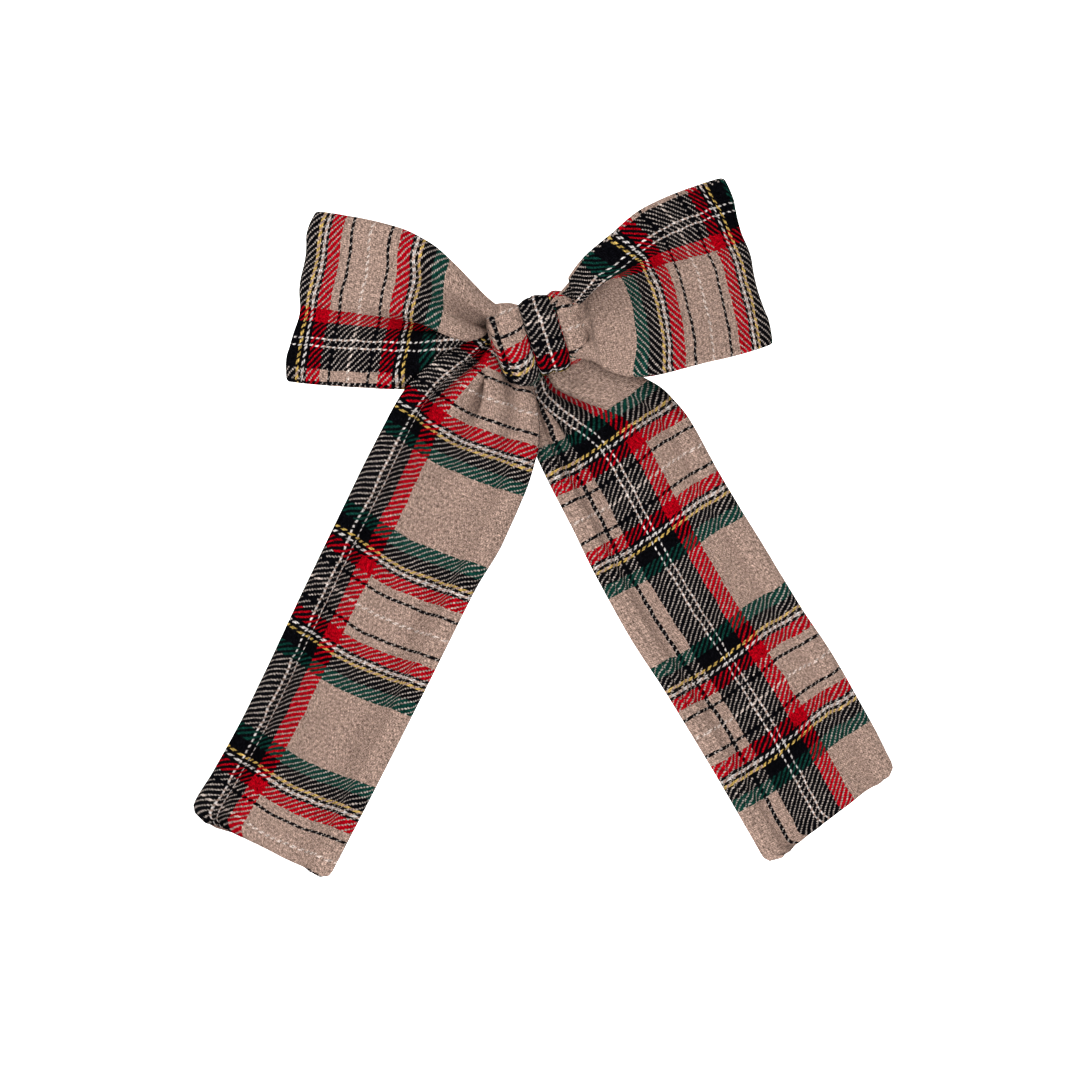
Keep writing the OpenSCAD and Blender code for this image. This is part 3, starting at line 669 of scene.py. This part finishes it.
def thread_mesh(name, paths, radius, sides=12, ply_turn=0.9):
    """Two-ply sewing thread along each path, with closed ends."""
    vertices, faces = [], []
    for path in paths:
        path = np.array(path)
        tangent = np.gradient(path, axis=0)
        tangent /= np.linalg.norm(tangent, axis=1)[:, None]
        helper = np.array([0.3, 0.9, 0.2])
        side = np.cross(tangent, helper)
        side /= np.linalg.norm(side, axis=1)[:, None]
        other = np.cross(tangent, side)
        first = len(vertices)
        for r in range(len(path)):
            for k in range(sides):
                a = 2 * math.pi * k / sides
                ply = radius * (0.82 + 0.18 * abs(math.cos(a - r * ply_turn)))
                vertices.append(path[r] + ply * (math.cos(a) * side[r] + math.sin(a) * other[r]))
        for r in range(len(path) - 1):
            for k in range(sides):
                a, b = first + r * sides + k, first + r * sides + (k + 1) % sides
                faces.append((a, b, b + sides, a + sides))
        faces.append(tuple(first + k for k in range(sides)))
        faces.append(tuple(first + (len(path) - 1) * sides + k for k in range(sides)))
    mesh = bpy.data.meshes.new(name)
    mesh.from_pydata([tuple(v * MM) for v in vertices], [], faces)
    piece = bpy.data.objects.new(name, mesh)
    bpy.context.scene.collection.objects.link(piece)
    turn_outward(piece)
    smooth(piece)
    return piece


# ---------------------------------------------------------------- materials


def new_material(name):
    """An empty material with its surface shader."""
    material = bpy.data.materials.new(name)
    material.use_nodes = True
    tree = material.node_tree
    tree.nodes.clear()
    output = tree.nodes.new("ShaderNodeOutputMaterial")
    shader = tree.nodes.new("ShaderNodeBsdfPrincipled")
    tree.links.new(shader.outputs["BSDF"], output.inputs["Surface"])
    return material, tree, shader


class Nodes:
    """Short ways to write node maths."""

    def __init__(self, tree):
        self.tree = tree

    def value(self, socket, x):
        if isinstance(x, (int, float)):
            socket.default_value = x
        else:
            self.tree.links.new(x, socket)

    def math(self, operation, a, b=0.0, c=0.0):
        node = self.tree.nodes.new("ShaderNodeMath")
        node.operation = operation
        for socket, x in zip(node.inputs, (a, b, c)):
            self.value(socket, x)
        return node.outputs[0]

    def mix(self, factor, a, b, kind="RGBA"):
        node = self.tree.nodes.new("ShaderNodeMix")
        node.data_type = kind
        if kind == "RGBA":
            first, second, out = node.inputs[6], node.inputs[7], node.outputs[2]
        else:
            first, second, out = node.inputs[2], node.inputs[3], node.outputs[0]
        self.value(node.inputs[0], factor)
        for socket, x in ((first, a), (second, b)):
            if isinstance(x, tuple):
                socket.default_value = (*x, 1)
            else:
                self.value(socket, x)
        return out

    def noise(self, vector, scale, detail=2.0, roughness=0.5, colour=False):
        node = self.tree.nodes.new("ShaderNodeTexNoise")
        node.inputs["Scale"].default_value = scale
        node.inputs["Detail"].default_value = detail
        node.inputs["Roughness"].default_value = roughness
        self.tree.links.new(vector, node.inputs["Vector"])
        return node.outputs["Color" if colour else "Fac"]

    def grey(self, colour):
        node = self.tree.nodes.new("ShaderNodeRGBToBW")
        self.tree.links.new(colour, node.inputs[0])
        return node.outputs[0]

    def join(self, x, y, z=0.0):
        node = self.tree.nodes.new("ShaderNodeCombineXYZ")
        for socket, v in zip(node.inputs, (x, y, z)):
            self.value(socket, v)
        return node.outputs[0]

    def split(self, vector):
        node = self.tree.nodes.new("ShaderNodeSeparateXYZ")
        self.tree.links.new(vector, node.inputs[0])
        return node.outputs

    def stripes(self, place, sett):
        """Colour at a place along a run of coloured bands, with place counted in threads."""
        total = sum(count for _, count in sett)
        node = self.tree.nodes.new("ShaderNodeValToRGB")
        ramp = node.color_ramp
        ramp.interpolation = "CONSTANT"
        self.value(node.inputs[0], self.math("DIVIDE", place, total))
        at = 0.0
        for i, (colour, count) in enumerate(sett):
            stop = ramp.elements[0] if i == 0 else ramp.elements.new(at / total)
            if i == 0:
                stop.position = 0
            stop.color = (*colour, 1)
            at += count
        while len(ramp.elements) > len(sett):
            ramp.elements.remove(ramp.elements[-1])
        return node.outputs[0]

    def bump(self, height, distance, strength=1.0):
        node = self.tree.nodes.new("ShaderNodeBump")
        node.inputs["Strength"].default_value = strength
        node.inputs["Distance"].default_value = distance
        self.tree.links.new(height, node.inputs["Height"])
        return node.outputs[0]


def plaid_material():
    """Yarn-dyed 2/2 twill flannel with a brushed nap. The cloth's UV map counts in centimetres."""
    material, tree, shader = new_material("plaid_flannel")
    n = Nodes(tree)
    uv = tree.nodes.new("ShaderNodeUVMap")
    uv.uv_map = "cloth"
    cloth = tree.nodes.new("ShaderNodeVectorMath")
    cloth.operation = "SCALE"
    cloth.inputs["Scale"].default_value = 1 / UV_SCALE
    tree.links.new(uv.outputs[0], cloth.inputs[0])
    mm = cloth.outputs[0]

    # yarns wander a little, and the nap blurs their edges
    drift = n.noise(mm, 0.22, 2.0, 0.5, colour=True)
    fuzz = n.noise(mm, 2.2, 4.0, 0.7, colour=True)
    d, f, p = n.split(drift), n.split(fuzz), n.split(mm)
    x = n.math("ADD", p[0], n.math("MULTIPLY_ADD", d[0], 0.9, -0.45))
    y = n.math("ADD", p[1], n.math("MULTIPLY_ADD", d[1], 0.7, -0.35))
    x = n.math("ADD", x, n.math("MULTIPLY_ADD", f[0], 0.60, -0.30))
    y = n.math("ADD", y, n.math("MULTIPLY_ADD", f[1], 0.50, -0.25))

    across = n.math("DIVIDE", x, WARP)
    along = n.math("DIVIDE", y, WEFT)
    i, j = n.math("FLOOR", across), n.math("FLOOR", along)
    repeat = sum(count for _, count in WARP_SETT)
    warp_colour = n.stripes(n.math("FLOORED_MODULO", n.math("ADD", i, 0.5), repeat), WARP_SETT)
    half = sum(count for _, count in WEFT_SETT)
    weft_colour = n.stripes(n.math("PINGPONG", n.math("ADD", j, 0.5), half), WEFT_SETT)

    # 2/2 twill, in which the dark yarns' nap spreads over the pale ones
    stepped = n.math("ADD", n.math("ADD", i, j), 1.0)
    slanted = n.math("ADD", across, along)
    beat = n.math("ADD", n.math("MULTIPLY", stepped, 0.55), n.math("MULTIPLY", slanted, 0.45))
    from_warp = n.math("PINGPONG", n.math("SUBTRACT", beat, 1.0), 2.0)
    paler = n.math("SUBTRACT", n.grey(weft_colour), n.grey(warp_colour))
    palest = n.math("MAXIMUM", n.grey(weft_colour), n.grey(warp_colour))
    tan_at_most = n.math("LESS_THAN", palest, PALE_YARN)
    spread = n.math("MAXIMUM", n.math("MINIMUM", n.math("MULTIPLY", paler, 6.0), 1.0), -1.0)
    spread = n.math("MULTIPLY", spread, n.math("MULTIPLY", tan_at_most, 0.50))
    over = n.math("SUBTRACT", n.math("ADD", spread, 1.0), from_warp)
    tan_at_least = n.math("GREATER_THAN", palest, DARK_YARN)
    dulled = n.math("MULTIPLY", n.math("MULTIPLY", tan_at_most, tan_at_least), 0.75)
    weft_dull = n.math("MINIMUM", n.math("MAXIMUM", n.math("MULTIPLY", paler, 6.0), 0.0), 1.0)
    warp_dull = n.math("MINIMUM", n.math("MAXIMUM", n.math("MULTIPLY", paler, -6.0), 0.0), 1.0)
    weft_colour = n.mix(n.math("MULTIPLY", weft_dull, dulled), weft_colour, ASHEN)
    warp_colour = n.mix(n.math("MULTIPLY", warp_dull, dulled), warp_colour, ASHEN)
    warp_up = n.math("MULTIPLY_ADD", over, 3.2, 0.5)
    warp_up = n.math("MINIMUM", n.math("MAXIMUM", warp_up, 0.0), 1.0)

    # each yarn is a little lighter or darker than its neighbour, and heathered along its length
    warp_tone = n.noise(n.join(n.math("MULTIPLY", i, 7.31), n.math("MULTIPLY", y, 0.35)), 1.0, 3.0, 0.6)
    weft_tone = n.noise(n.join(n.math("MULTIPLY", x, 0.35), n.math("MULTIPLY", j, 5.17)), 1.0, 3.0, 0.6)
    colour = n.mix(warp_up, weft_colour, warp_colour)
    tone = n.mix(warp_up, weft_tone, warp_tone, kind="FLOAT")
    tone = n.math("MULTIPLY_ADD", tone, 1.1, 0.45)

    # round threads: high along each yarn's middle, low where yarns meet, for the relief and for painted shade
    # that darkens the colour where the yarns meet
    warp_round = n.math("PINGPONG", across, 0.5)
    weft_round = n.math("PINGPONG", along, 0.5)
    round_up = n.math("MULTIPLY", n.mix(warp_up, weft_round, warp_round, kind="FLOAT"), 2.0)
    round_up = n.math("POWER", round_up, 0.7)
    # painted shade: the colour is darkened in the gaps between yarns
    shade = n.math("MULTIPLY_ADD", round_up, 0.85, 0.42)

    fibre = n.noise(n.join(x, n.math("MULTIPLY", y, 2.4)), 2.0, 3.0, 0.7)
    fleck = n.math("MULTIPLY_ADD", fibre, 2.2, -0.1)
    # uneven brushing, at the size of a few yarns
    patch = n.noise(mm, 1.5, 4.0, 0.8)
    brushed = n.math("MAXIMUM", n.math("MULTIPLY_ADD", patch, 5.0, -1.5), 0.3)
    value = n.math("MULTIPLY", n.math("MULTIPLY", n.math("MULTIPLY", tone, shade), fleck), brushed)
    node = tree.nodes.new("ShaderNodeVectorMath")
    node.operation = "SCALE"
    tree.links.new(colour, node.inputs[0])
    tree.links.new(value, node.inputs["Scale"])
    # pale fibres of the nap lie over the dark yarns
    lint = n.noise(mm, 6.0, 3.0, 0.75)
    lint = n.math("MULTIPLY", n.math("MAXIMUM", n.math("SUBTRACT", lint, 0.62), 0.0), 0.35)
    final = n.mix(lint, node.outputs[0], (0.16, 0.13, 0.115))
    tree.links.new(final, shader.inputs["Base Color"])

    rough = n.math("MULTIPLY_ADD", fibre, 0.12, 0.84)
    tree.links.new(rough, shader.inputs["Roughness"])
    shader.inputs["Specular IOR Level"].default_value = 0.0

    height = n.math("ADD", round_up, n.math("MULTIPLY", fibre, 0.8))
    weave = n.bump(height, 0.00022, 0.9)
    tree.links.new(weave, shader.inputs["Normal"])
    return material


def simple_material(name, colour, rough, scale, depth, spread, metallic=0.0, sheen=0.0, stretch=(1, 1, 1)):
    """A material with mottled colour, roughness and relief from one stretched noise."""
    material, tree, shader = new_material(name)
    n = Nodes(tree)
    coords = tree.nodes.new("ShaderNodeTexCoord")
    mapping = tree.nodes.new("ShaderNodeMapping")
    mapping.inputs["Scale"].default_value = stretch
    tree.links.new(coords.outputs["Object"], mapping.inputs[0])
    grain = n.noise(mapping.outputs[0], scale, 4.0, 0.6)
    dark = tuple(c * (1 - spread) for c in colour)
    light = tuple(min(1, c * (1 + spread)) for c in colour)
    tree.links.new(n.mix(grain, dark, light), shader.inputs["Base Color"])
    tree.links.new(n.math("MULTIPLY_ADD", grain, 0.2, rough - 0.1), shader.inputs["Roughness"])
    tree.links.new(n.bump(grain, depth, 0.6), shader.inputs["Normal"])
    shader.inputs["Metallic"].default_value = metallic
    shader.inputs["Sheen Weight"].default_value = sheen
    return material


def dress(piece, material):
    """Gives a piece one material."""
    piece.data.materials.clear()
    piece.data.materials.append(material)


# ---------------------------------------------------------------- studio


def area_light(name, place, target, size, power):
    """A round soft light that faces target."""
    light = bpy.data.lights.new(name, "AREA")
    light.shape = "DISK"
    light.size = size
    light.energy = power
    lamp = bpy.data.objects.new(name, light)
    lamp.location = place
    lamp.rotation_euler = (Vector(target) - Vector(place)).to_track_quat("-Z", "Y").to_euler()
    bpy.context.scene.collection.objects.link(lamp)


def studio():
    """Camera straight in front, a white sweep behind and below, and large soft lights."""
    width = 0.270           # what the camera sees across, at the bow
    lens, sensor = 110, 36
    centre = (0.0, 0.0, -0.05125)
    distance = width * lens / sensor
    camera_data = bpy.data.cameras.new("camera")
    camera_data.lens = lens
    camera_data.sensor_width = sensor
    camera_data.clip_end = 20
    camera = bpy.data.objects.new("camera", camera_data)
    camera.location = (centre[0], centre[1] - 0.014 - distance, centre[2])
    camera.rotation_euler = (math.radians(90), 0, 0)
    bpy.context.scene.collection.objects.link(camera)
    bpy.context.scene.camera = camera

    floor_z = CAD_BOX[0][2] - 0.075
    material, _, shader = new_material("white_sweep")
    shader.inputs["Base Color"].default_value = (0.95, 0.95, 0.95, 1)
    shader.inputs["Roughness"].default_value = 0.9
    shader.inputs["Emission Color"].default_value = (1, 1, 1, 1)
    shader.inputs["Emission Strength"].default_value = 0.9
    floor_mesh = bpy.data.meshes.new("floor")
    profile = [(-2.0, 0.0), (0.6, 0.0)]
    radius = 0.8
    for k in range(1, 13):
        a = math.pi / 2 * k / 12
        profile.append((0.6 + radius * math.sin(a), radius * (1 - math.cos(a))))
    profile.append((0.6 + radius, 4.0))
    verts = [(x, y, floor_z + z) for x in (-4.0, 4.0) for y, z in profile]
    count = len(profile)
    faces = [(k, k + 1, count + k + 1, count + k) for k in range(count - 1)]
    floor_mesh.from_pydata(verts, [], faces)
    floor = bpy.data.objects.new("floor", floor_mesh)
    bpy.context.scene.collection.objects.link(floor)
    smooth(floor)
    floor.data.materials.append(material)

    world = bpy.data.worlds.new("world")
    world.use_nodes = True
    background = world.node_tree.nodes["Background"]
    background.inputs["Color"].default_value = (1, 1, 1, 1)
    background.inputs["Strength"].default_value = 0.95
    bpy.context.scene.world = world
    area_light("key", (-0.45, -0.60, 0.75), (0, 0, -0.03), 0.40, 10.0)
    area_light("fill", (0.8, -0.8, 0.1), (0, 0, -0.05), 0.8, 1.0)
    bpy.context.scene.view_settings.view_transform = "Standard"


# ---------------------------------------------------------------- the bow

studio()
plaid = plaid_material()

knot_cloth, seam_stitches = knot()
cloth = {
    "left_loop": left_loop(), "right_loop": right_loop(), "knot": knot_cloth,
    "left_tail": left_tail(), "right_tail": right_tail()}
for piece in cloth.values():
    dress(piece, plaid)

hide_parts("left_loop")
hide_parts("right_loop")
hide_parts("knot_wrap")
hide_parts("left_tail_gather", "left_tail")
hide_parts("right_tail_gather", "right_tail")
for name in ("left_loop", "right_loop", "knot"):
    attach(cloth[name], "root")
gathers = gathering_thread()
for piece, node in ((seam_stitches, "knot_seam_stitches"), (gathers, "gathering_thread")):
    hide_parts(node)
    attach(piece, "root")


def hinge_blend(piece, joint_name):
    """Bakes the tail cloth's placement into its mesh. The joint is looked up, but the cloth is not bent
    there.
    """
    joint = next(j for j in frame["joints"] if j["name"] == joint_name)
    place, axis = Vector(joint["pos_m"]), Vector(joint["axis"])
    down = axis.cross(Vector((0, 1, 0))).normalized()
    if down.z > 0:
        down = -down
    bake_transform(piece)


hinge_blend(cloth["left_tail"], "left_tail_swing")
hinge_blend(cloth["right_tail"], "right_tail_swing")

thread = simple_material("sewing_thread", (0.62, 0.52, 0.42), 0.7, 3000, 0.00004, 0.15, sheen=0.2)
felt = simple_material("felt", (0.24, 0.165, 0.12), 0.9, 900, 0.0004, 0.45, sheen=0.1)
ribbon = simple_material(
    "grosgrain", (0.24, 0.17, 0.125), 0.6, 400, 0.0002, 0.35, sheen=0.1, stretch=(8, 1, 1))
steel = simple_material("plated_steel", (0.22, 0.22, 0.23), 0.34, 900, 0.000004, 0.04, metallic=1.0)
spring = simple_material("spring_steel", (0.30, 0.30, 0.32), 0.35, 2600, 0.000006, 0.08, metallic=1.0)
for node, material in (
        ("backing_felt", felt), ("backing_stitches", thread),
        ("clip_ribbon", ribbon), ("clip_base", steel), ("clip_jaw", steel),
        ("clip_pin", steel), ("clip_spring", spring)):
    dress(frame["nodes"][node], material)

dress(seam_stitches, thread)
dress(gathers, thread)
